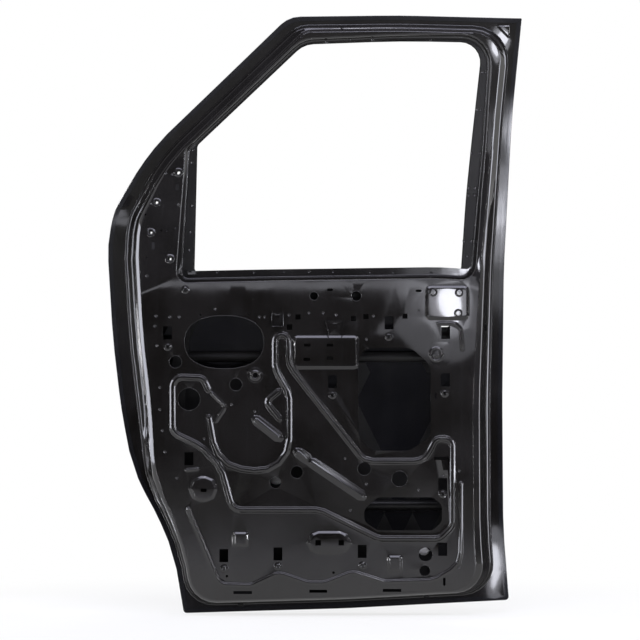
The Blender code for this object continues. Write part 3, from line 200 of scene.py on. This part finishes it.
def smoothFaces(piece, angle):
    piece.data.shade_smooth()
    piece.data.set_sharp_from_angle(angle=math.radians(angle))
    weighted = piece.modifiers.new("weighted", "WEIGHTED_NORMAL")
    weighted.keep_sharp = True


# A rim is the cut edge of the sheet: a face about as narrow as the sheet is thick. Angles are in degrees
foldLook = {"rimArea": 1.35, "rimSide": (0.6, 1.5), "rimFrom": 60, "steepest": 140, "wallSlope": 0.6,
            "wallArea": 4e-5, "wallSteps": 5}
# Widths in millimetres: fold from this angle, round in so many steps, wider beside a wall, and break the rim
folds = {
    "inner_panel": {"sheet": 0.9, "from": 22, "round": 1.4, "steps": 2, "clamp": False, "rim": 0.3, "wall": 2.6},
    "outer_skin": {"sheet": 0.8, "from": 16, "round": 1.0, "steps": 2, "clamp": False},
    "": {"sheet": 1.2, "from": 20, "round": 0.7, "steps": 2, "clamp": True},
}


def bevelEdges(shape, edges, width, steps, clamp):
    bmesh.ops.bevel(shape, geom=edges, offset=width * mm, offset_type="OFFSET", segments=steps, profile=0.5,
                    affect="EDGES", clamp_overlap=clamp, material=-1, loop_slide=True)
    bmesh.ops.triangulate(shape, faces=[f for f in shape.faces if len(f.verts) > 4])


def roundFolds(shape, fold):
    sheet = fold["sheet"] * mm
    thin, thick = (share * sheet for share in foldLook["rimSide"])

    def isRim(face):
        sides = [e.calc_length() for e in face.edges]
        return face.calc_area() < foldLook["rimArea"] * sheet * max(sides) and any(thin < c < thick for c in sides)

    def isWall(edge):
        return any(abs(f.normal.y) < foldLook["wallSlope"] and f.calc_area() > foldLook["wallArea"]
                   for f in edge.link_faces)

    def foldEdges():
        rims = {f for f in shape.faces if isRim(f)}
        low, high = math.radians(fold["from"]), math.radians(foldLook["steepest"])
        return [e for e in shape.edges if e.is_manifold and not any(f in rims for f in e.link_faces)
                and low < e.calc_face_angle() < high]

    if "wall" in fold:
        bevelEdges(shape, [e for e in foldEdges() if isWall(e)], fold["wall"], foldLook["wallSteps"], fold["clamp"])
    bevelEdges(shape, foldEdges(), fold["round"], fold["steps"], fold["clamp"])
    if "rim" in fold:
        rims = {f for f in shape.faces if isRim(f)}
        edges = [e for e in shape.edges if e.is_manifold and sum(f in rims for f in e.link_faces) == 1
                 and e.calc_face_angle() > math.radians(foldLook["rimFrom"])]
        bevelEdges(shape, edges, fold["rim"], 1, True)


def mergedNode(node):
    shape = bmesh.new()
    shape.from_mesh(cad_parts[node].data)
    bmesh.ops.remove_doubles(shape, verts=shape.verts, dist=1e-5)
    return shape


def px(x, y, *size):
    return ((x - 314) * 2.4, (614.5 - y) * 2.4, *(s * 2.4 for s in size))


# Small holes and slots of the panel at photo pixels, with width and height, for one Boolean cut
panelHoles = {
    "depth": 14.0, "rounded": 0.495, "steps": 4,
    "at": [px(418, 291, 6, 2.5), px(330, 290, 6, 2.5), px(435, 395, 2, 6), px(443.5, 580, 2.5, 8),
           px(240.5, 606.5, 6, 3), px(427, 598, 6, 2), px(333.5, 571, 2.5, 2.5), px(227.5, 574.5, 2.5, 2.5),
           px(177.5, 187, 4, 7), px(154, 246, 3, 8), px(146, 215, 1.8, 1.8), px(176, 228.5, 2, 2),
           px(162, 231, 1.8, 1.8), px(167.5, 231, 1.8, 1.8), px(148, 258, 1.8, 1.8)],
}


def holeCutter(tree, look):
    shape = bmesh.new()
    for x, z, wide, tall in look["at"]:
        spot, normal = hitAt(tree, x, z)
        before = set(shape.verts)
        made = bmesh.ops.create_cube(shape, size=1.0)["verts"]
        bmesh.ops.scale(shape, vec=(wide * mm, look["depth"] * mm, tall * mm), verts=made)
        long = [e for e in shape.edges if all(v not in before for v in e.verts)
                and abs(e.verts[0].co.y - e.verts[1].co.y) > 1e-6]
        bmesh.ops.bevel(shape, geom=long, offset=look["rounded"] * min(wide, tall) * mm, offset_type="OFFSET",
                        segments=look["steps"], profile=0.5, affect="EDGES", clamp_overlap=True, material=-1)
        fresh = [v for v in shape.verts if v not in before]
        bmesh.ops.translate(shape, vec=(x * mm, spot.y, z * mm), verts=fresh)
    return meshFrom(shape, "cutter")


def cutHoles(mesh, cutter):
    base = bpy.data.objects.new("base", mesh)
    tool = bpy.data.objects.new("tool", cutter)
    for helper in (base, tool):
        scene.collection.objects.link(helper)
    cut = base.modifiers.new("cut", "BOOLEAN")
    cut.object = tool
    cut.operation = "DIFFERENCE"
    cut.solver = "EXACT"
    found = base.evaluated_get(bpy.context.evaluated_depsgraph_get())
    result = bpy.data.meshes.new_from_object(found)
    for helper in (base, tool):
        bpy.data.objects.remove(helper)
    return result


def surfaceTree(mesh):
    return BVHTree.FromPolygons([v.co for v in mesh.vertices], [p.vertices for p in mesh.polygons])


def hitAt(tree, x, z, start=-0.3):
    return tree.ray_cast(Vector((x * mm, start, z * mm)), Vector((0, 1, 0)))[:2]


dressed = {}
coats = {"inner_panel": (panelCoat, "panel_coat"), "outer_skin": (skinCoat, "skin_coat"),
         "armrest_bracket": (panelCoat, "inner_coat"), "pull_handle_bracket": (panelCoat, "inner_coat"),
         "lock_plate": (panelCoat, "inner_coat")}
for node in sorted(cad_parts):
    shape = mergedNode(node)
    if "nut" not in node and "boss" not in node:
        roundFolds(shape, folds.get(node, folds[""]))
    mesh = meshFrom(shape, node + "_dressed")
    if node == "inner_panel":
        mesh = cutHoles(mesh, holeCutter(surfaceTree(mesh), panelHoles))
    piece = addPiece(node + "_dressed", mesh, *coats.get(node, (innerCoat, "inner_coat")))
    smoothFaces(piece, 35)
    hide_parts(node)
    dressed[node] = piece
print("pressings dressed", len(dressed), "triangles", sum(len(p.data.polygons) for p in dressed.values()))


# Weld spots: a low ring round a flat, laid on the sheet at photo pixels. Where a spot misses, one beside it is tried

weldSpots = {
    "tries": [(0, 0), (0, 4), (0, -4), (4, 0), (-4, 0), (0, 9), (0, -9), (8, 0), (-8, 0)],
    "ring": [(0.0, 0.1), (1.5, 0.15), (2.2, 0.8), (2.8, 1.0), (3.5, 0.5), (3.9, -0.2)],
    "steps": 12, "facing": -0.8, "angle": 50,
    "belt": [(217, 272), (254, 272), (284, 271.5), (309, 271.5), (333, 271.5), (370, 272), (393, 272), (431, 273)],
    "rearPillar": [(482, 73), (485, 73), (477, 110), (480, 110), (471.5, 153), (480, 153), (468.5, 188), (475, 188),
                   (468.5, 195), (474.5, 195), (464, 241), (471, 241), (467, 256)],
    "header": [(326, 43.5), (349, 41), (400, 39), (342, 31), (430, 41), (372, 41)],
    "frontPillar": [(193, 150), (191.6, 162.5), (192, 205.6), (190.5, 232), (189.5, 250)],
    "mirror": [(173, 174.5), (166, 173.5), (152.5, 204), (179, 205), (148, 276)],
    "trim": [(157, 316), (171, 317), (180, 317), (156, 326), (158, 345.5), (260, 317), (265, 317), (216, 309),
             (289, 315), (309, 313), (323, 313), (336, 315), (373, 316), (418, 311), (366, 339), (161, 387),
             (161, 409), (163.5, 430), (166, 451), (205, 438), (232, 404), (255.5, 411), (178, 477), (345, 457.5),
             (366, 483), (418, 489), (350, 509), (442, 474), (458, 470), (458, 566)],
}


def turnedShape(shape, profile, steps):
    spots = [shape.verts.new((r * mm, 0, h * mm)) for r, h in profile]
    edges = [shape.edges.new(pair) for pair in zip(spots, spots[1:])]
    bmesh.ops.spin(shape, geom=spots + edges, cent=(0, 0, 0), axis=(0, 0, 1), angle=2 * math.pi,
                   steps=steps, use_merge=True, use_duplicate=False)


def stampedCopies(name, profile, steps, seats, closed=False):
    one = bmesh.new()
    turnedShape(one, profile + profile[:1] if closed else profile, steps)
    bmesh.ops.remove_doubles(one, verts=one.verts, dist=1e-6)
    bmesh.ops.recalc_face_normals(one, faces=one.faces)
    if not closed:
        up = sum((f.normal.z * f.calc_area() for f in one.faces), 0.0)
        if up < 0:
            bmesh.ops.reverse_faces(one, faces=one.faces)
    single = meshFrom(one, name + "_one")
    shape = bmesh.new()
    for spot, normal in seats:
        before = set(shape.verts)
        shape.from_mesh(single)
        place = Matrix.Translation(spot) @ normal.to_track_quat("Z", "Y").to_matrix().to_4x4()
        bmesh.ops.transform(shape, matrix=place, verts=[v for v in shape.verts if v not in before])
    bpy.data.meshes.remove(single)
    return meshFrom(shape, name)


# The skin's hidden faces have the thin dull coat of a closed space
panelTree = surfaceTree(dressed["inner_panel"].data)
skin = dressed["outer_skin"].data
skin.materials.append(innerCoat)
for face in skin.polygons:
    if face.normal.y < -0.3 and panelTree.ray_cast(face.center, inboard)[0]:
        face.material_index = 1

shape = bmesh.new()
for node, piece in dressed.items():
    if node != "outer_skin":
        shape.from_mesh(piece.data)
sheetTree = BVHTree.FromBMesh(shape)
shape.free()
seats = []
for group in ("belt", "rearPillar", "header", "frontPillar", "mirror", "trim"):
    for x, z in (px(*place) for place in weldSpots[group]):
        found = [hitAt(sheetTree, x + dx, z + dz) for dx, dz in weldSpots["tries"]]
        seats += [(spot, normal) for spot, normal in found if spot and normal.y < weldSpots["facing"]][:1]
mesh = stampedCopies("weld_spots", weldSpots["ring"], weldSpots["steps"], seats)
smoothFaces(addPiece("weld_spots", mesh, panelCoat, "panel_coat"), weldSpots["angle"])
print("weld spots", len(seats))


# Trim bosses: a flanged nut with a chamfered collar and a threaded bore. Each profile row is millimetres out from
# the bore or the rim, and a share of the height

bossShape = {
    "bore": 0.36, "steps": 28, "angle": 28, "mouth": 0.15, "deep": 0.35, "foot": 0.3,
    "thread": (0.3, 0.36, 0.42, 0.5, 0.58, 0.66, 0.74),
    "collar": [(0, 0.88), (0.5, 1), (1.5, 1), (2.0, 0.93), (2.4, 0.62), (3.0, 0.5)],
    "flange": [(-1.4, 0.36), (-0.5, 0.3), (0, 0.16), (0, 0.06), (-0.2, 0)],
}
for node in sorted(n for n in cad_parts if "boss" in n):
    low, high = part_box(node)
    middle = (low + high) / 2
    radius = (high.x - low.x) / 2 / mm
    tall = (high.y - low.y) / mm
    bore = radius * bossShape["bore"]
    profile = [(bore, bossShape["mouth"])]
    profile += [(bore - bossShape["deep"] * (turn % 2), share * tall) for turn, share in enumerate(bossShape["thread"])]
    profile += [(bore + out, share * tall) for out, share in bossShape["collar"]]
    profile += [(radius + out, share * tall) for out, share in bossShape["flange"]]
    profile += [(bore + bossShape["foot"], 0.0)]
    seat = (Vector((middle.x, high.y, middle.z)), inboard)
    mesh = stampedCopies(node + "_turned", profile, bossShape["steps"], [seat], closed=True)
    bpy.data.objects.remove(dressed.pop(node))
    piece = addPiece(node + "_turned", mesh, panelCoat, "inner_coat")
    smoothFaces(piece, bossShape["angle"])
    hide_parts(node)
print("bosses turned")


# The coat gathers in a thin round bead on the edges of the holes: x, z and radius. The speaker's is a full oval

holeEdges = {
    "thick": 0.75, "sides": 8, "steps": 48, "proud": 0.3, "beside": 2, "angle": 80,
    "speaker": (-214, 654, 95, 63.5, 0.86),
    "round": [(-330, 607, 15), (-186, 553, 15), (-298, 518, 27), (-41, 344, 15), (-92, 319, 14), (120, 352, 16),
              (204, 328, 19), (0, 764, 10), (101, 764, 12), (266, 148, 17), (264, 109, 13), (-140, 575, 15)],
}
shape = bmesh.new()
for x, z, wide, tall, power in [holeEdges["speaker"]] + [(x, z, r, r, 1) for x, z, r in holeEdges["round"]]:
    spot, normal = hitAt(panelTree, x + wide + holeEdges["beside"], z)
    before = set(shape.verts)
    made = bmesh.ops.create_circle(shape, segments=holeEdges["sides"], radius=holeEdges["thick"] * mm)["verts"]
    bmesh.ops.translate(shape, vec=(1, 0, 0), verts=made)
    edges = list({e for v in made for e in v.link_edges})
    bmesh.ops.spin(shape, geom=made + edges, cent=(0, 0, 0), axis=(0, 1, 0), angle=2 * math.pi,
                   steps=holeEdges["steps"], use_merge=True, use_duplicate=False)
    for v in (v for v in shape.verts if v not in before):
        reach = Vector((v.co.x, 0, v.co.z))
        out = reach.length - 1
        turn = Vector([math.copysign(abs(c) ** power, c) for c in reach.normalized()])
        v.co = Vector((turn.x * (wide * mm + out) + x * mm, spot.y + v.co.y + holeEdges["proud"] * mm,
                       turn.z * (tall * mm + out) + z * mm))
bmesh.ops.recalc_face_normals(shape, faces=shape.faces)
smoothFaces(addPiece("hole_edges", meshFrom(shape, "hole_edges"), panelCoat, "panel_coat"), holeEdges["angle"])


# A drawn collar stands in the hole between the speaker and the hook bead

collarShape = {"x": -140, "z": 575, "beside": 20, "steps": 40, "angle": 40,
               "profile": [(6.2, -3.0), (6.2, 2.2), (7.2, 3.2), (9.2, 3.4), (10.6, 2.6), (12.4, 0.9), (15.2, 0.6),
                           (17.4, 1.0), (18.4, 0.5), (18.2, 0.0), (14.0, -0.4), (8.6, -0.6), (7.4, -3.0)]}
spot, normal = hitAt(panelTree, collarShape["x"] + collarShape["beside"], collarShape["z"])
seat = (Vector((collarShape["x"] * mm, spot.y, collarShape["z"] * mm)), inboard)
mesh = stampedCopies("drawn_collar", collarShape["profile"], collarShape["steps"], [seat], closed=True)
smoothFaces(addPiece("drawn_collar", mesh, panelCoat, "panel_coat"), collarShape["angle"])


# Low rings: round the lock boss, and round the mirror's fixing holes

lockRing = {"profile": [(11.5, 0.1), (12.5, 1.3), (14.5, 1.9), (16.5, 1.5), (18.5, 0.5), (19.5, -0.2)],
            "steps": 36, "angle": 60}
low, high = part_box("lock_plate_boss")
middle = (low + high) / 2
seat = (Vector((middle.x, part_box("lock_plate")[0].y, middle.z)), inboard)
mesh = stampedCopies("lock_ring", lockRing["profile"], lockRing["steps"], [seat])
smoothFaces(addPiece("lock_ring", mesh, panelCoat, "panel_coat"), lockRing["angle"])

mirrorRings = {"profile": [(5.4, -0.2), (6.0, 0.9), (7.2, 1.3), (9.0, 1.1), (11.0, 0.4), (12.0, -0.2)],
               "steps": 36, "angle": 60, "beside": 7,
               "at": [(-325, 1060), (-377, 989), (-390, 917), (-344, 853)]}
seats = []
for x, z in mirrorRings["at"]:
    spot, normal = hitAt(panelTree, x + mirrorRings["beside"], z)
    seats.append((Vector((x * mm, spot.y, z * mm)), normal))
mesh = stampedCopies("mirror_rings", mirrorRings["profile"], mirrorRings["steps"], seats)
smoothFaces(addPiece("mirror_rings", mesh, panelCoat, "panel_coat"), mirrorRings["angle"])
print("edges, collar and rings made")


# Dabs of pale mastic between the skin and the beams, seen through two holes; their pale colour also paints the bright
# reflection seen in these holes

masticHighlightDabs = {"at": [(-92, 319, 13.0), (266, 148, 12.0)], "deep": 0.3, "tall": 0.8, "clear": 0.1, "lump": 0.12,
              "lumps": (700, 560)}
skinTree = surfaceTree(dressed["outer_skin"].data)
shape = bmesh.new()
for x, z, size in masticHighlightDabs["at"]:
    spot, normal = hitAt(skinTree, x, z, start=0.0)
    made = bmesh.ops.create_icosphere(shape, subdivisions=3, radius=size * mm)["verts"]
    across, upward = masticHighlightDabs["lumps"]
    for v in made:
        bulge = 1 + masticHighlightDabs["lump"] * math.sin(v.co.x * across + z) * math.cos(v.co.z * upward + x)
        back = min(v.co.y * masticHighlightDabs["deep"], 0.0) - masticHighlightDabs["clear"] * mm
        v.co = Vector((v.co.x * bulge, back, v.co.z * masticHighlightDabs["tall"] * bulge)) + spot
for face in shape.faces:
    face.smooth = True
addPiece("mastic_highlight_dabs", meshFrom(shape, "mastic_highlight_dabs"), paleMasticHighlight, "inner_coat")
print("mastic laid")


# Studio: a pale floor that keeps the shadow and fades to white with distance, also where the gloss mirrors it

floorLook = {"size": 14.0, "scale": 3.0, "tone": 0.82, "spread": 0.03, "seen": 0.75, "fade": (0.5, 1.5),
             "mirrored": (-3.2, -0.6)}


def studioFloor(look):
    material, wire = newMaterial("studioFloor")
    place = wire.node("TexCoord").out("Object")
    cloud = wire.noise(place, look["scale"], 2.0).between(0.3, 0.7)
    tone = cloud.tint((look["tone"],) * 3 + (1,), (look["tone"] + look["spread"],) * 3 + (1,))
    matte = wire.node("BsdfDiffuse", (), {"Color": tone})
    pale = wire.node("Emission", (), {"Color": (1, 1, 1, 1), "Strength": 1.0})
    away = wire.node("VectorMath", {"operation": "LENGTH"}, {0: place}, out=1).between(*look["fade"])
    rays = wire.node("LightPath")
    seen = rays.out("Is Camera Ray") * (look["seen"] + away * (1 - look["seen"]))
    depth = wire.node("SeparateXYZ", (), {"Vector": place}).out("Y").between(*look["mirrored"])
    seen = seen + rays.out("Is Glossy Ray") * depth * look["seen"]
    both = wire.node("MixShader", (), {0: seen, 1: matte, 2: pale})
    wire.node("OutputMaterial", (), {"Surface": both})
    shape = bmesh.new()
    bmesh.ops.create_grid(shape, x_segments=1, y_segments=1, size=look["size"] / 2)
    floor = bpy.data.objects.new("floor", meshFrom(shape, "floor"))
    floor.data.materials.append(material)
    scene.collection.objects.link(floor)


# The world is white to the camera. What the gloss mirrors is white at the sides, greyer above and dark towards
# the camera, where three faint glows start above, below and to the right

worldLook = {
    "diffuse": 0.25, "side": 1.0, "top": (0.62, 0.6, 0.68), "topFrom": (0.2, 0.8), "front": (0.84, 0.84, 1.0),
    "frontFrom": (0.0, 0.5), "above": (0.015, 0.07, 0.12), "below": (-0.03, -0.08, 0.12),
    "right": (0.036, 0.055, 0.15),
}


def studioWorld(look):
    world = bpy.data.worlds.new("studio")
    scene.world = world
    world.use_nodes = True
    world.node_tree.nodes.clear()
    wire = Wire(world.node_tree)
    rays = wire.node("LightPath")
    way = wire.node("TexCoord").out("Generated")
    place = wire.node("SeparateXYZ", (), {"Vector": way})
    x, z = place.out("X"), place.out("Z")
    glow = 0.0
    for part, along in (("above", z), ("below", z), ("right", x)):
        low, high, strength = look[part]
        glow = glow + along.between(low, high) * strength
    front = wire.node("VectorMath", {"operation": "SCALE"}, {0: look["front"], "Scale": glow})
    toCamera = (place.out("Y") * -1.0).between(*look["frontFrom"])
    mirrored = z.between(*look["topFrom"]).tint((look["side"],) * 3 + (1,), (*look["top"], 1))
    mirrored = toCamera.tint(mirrored, front)
    colour = rays.out("Is Glossy Ray").tint((look["diffuse"],) * 3 + (1,), mirrored)
    colour = rays.out("Is Camera Ray").tint(colour, (1, 1, 1, 1))
    sky = wire.node("Background", (), {"Color": colour, "Strength": 1.0})
    wire.node("OutputWorld", (), {"Surface": sky})


# Lights: at, towards, width, height, watts, colour
lights = {
    "leftStrip": ((-2.4, -2.3, 0.5), (0, 0, 0.6), 0.03, 2.6, 22, (0.95, 0.95, 1)),
    "rightStrip": ((2.4, -2.0, 0.9), (0, 0, 0.8), 0.03, 2.6, 22, (0.95, 0.95, 1)),
    "leftPanel": ((-2.7, 0.1, 0.9), (0, 0, 0.8), 0.9, 2.2, 56, (0.86, 0.88, 1)),
    "rightPanel": ((2.7, 0.1, 0.9), (0, 0, 0.8), 0.9, 2.2, 56, (0.86, 0.88, 1)),
    "topBox": ((0.2, -1.8, 2.9), (0, 0, 0.7), 3.0, 1.3, 64, (0.82, 0.82, 1.0)),
    "topStrip": ((-0.5, -1.2, 2.9), (0, 0, 0.7), 2.4, 0.03, 3.5, (0.95, 0.95, 1)),
    "lowStrip": ((-1.1, -2.2, 0.02), (0, 0, 0.7), 1.2, 0.03, 4, (0.95, 0.95, 1)),
    "backFill": ((0.8, 3.2, 2.4), (0, 0, 0.7), 2.0, 2.0, 40, (1, 1, 1)),
}


def addLight(name, shape, at, way, wide, tall, watts, colour):
    light = bpy.data.lights.new(name, "AREA")
    light.shape = shape
    light.size, light.size_y = wide, tall
    light.energy = watts
    light.color = colour
    lamp = bpy.data.objects.new(name, light)
    lamp.location = at
    lamp.rotation_euler = way.to_track_quat("-Z", "Y").to_euler()
    lamp.visible_camera = False
    scene.collection.objects.link(lamp)


def studioLights(look):
    for name, (at, towards, *rest) in look.items():
        addLight(name, "RECTANGLE", at, Vector(towards) - Vector(at), *rest)


# Soft boxes set where the camera's line of sight goes after it mirrors in the door at x, z (mm):
# metres off, then width, height and radiance of each

cameraLook = {"at": (0.0144, -9.0, 0.7068), "lens": 211.0, "clip": 60}
glintLook = {"reach": 5, "alike": 0.97, "colour": (0.9, 0.91, 1.0)}
glints = {
    "lockCorner": (322, 748, 1.2, [(0.10, 0.11, 26), (0.18, 0.19, 5), (0.34, 0.32, 1.4)]),
    "rearPillar": (391, 841, 0.6, [(0.025, 0.14, 24), (0.04, 0.2, 3)]),
    "hingeSide": (-394, 419, 0.8, [(0.04, 0.2, 30), (0.08, 0.36, 6)]),
    "hingeMiddle": (-362, 275, 0.4, [(0.03, 0.1, 22)]),
    "rearFace": (425, 330, 0.5, [(0.02, 0.05, 20)]),
    "topCorner": (458, 1385, 0.35, [(0.03, 0.04, 22), (0.05, 0.07, 5)]),
    "lowCorner": (439, 111, 0.4, [(0.025, 0.1, 18), (0.05, 0.18, 3)]),
    "belt": (0, 796, 0.8, [(1.0, 0.03, 2.5)]),
}


def studioGlints(look):
    eye = Vector(cameraLook["at"])
    around = [step * glintLook["reach"] for step in (-1, 0, 1)]
    for name, (x, z, off, boxes) in look.items():
        found = [hitAt(sheetTree, x + dx, z + dz) for dx in around for dz in around]
        centre, middle = found[4]
        normal = sum((n for spot, n in found if spot and n.dot(middle) > glintLook["alike"]), Vector()).normalized()
        way = (centre - eye).normalized().reflect(normal)
        for index, (wide, tall, radiance) in enumerate(boxes):
            watts = radiance * math.pi * math.pi / 4 * wide * tall
            addLight(f"{name}_{index}", "ELLIPSE", centre + way * off, -way, wide, tall, watts, glintLook["colour"])


studioFloor(floorLook)
studioWorld(worldLook)
studioLights(lights)
studioGlints(glints)

camera = bpy.data.cameras.new("camera")
camera.lens = cameraLook["lens"]
camera.clip_end = cameraLook["clip"]
cameraObject = bpy.data.objects.new("camera", camera)
cameraObject.location = cameraLook["at"]
cameraObject.rotation_euler = (math.pi / 2, 0, 0)
scene.collection.objects.link(cameraObject)
scene.camera = cameraObject
scene.view_settings.view_transform = "Standard"
print("studio set")
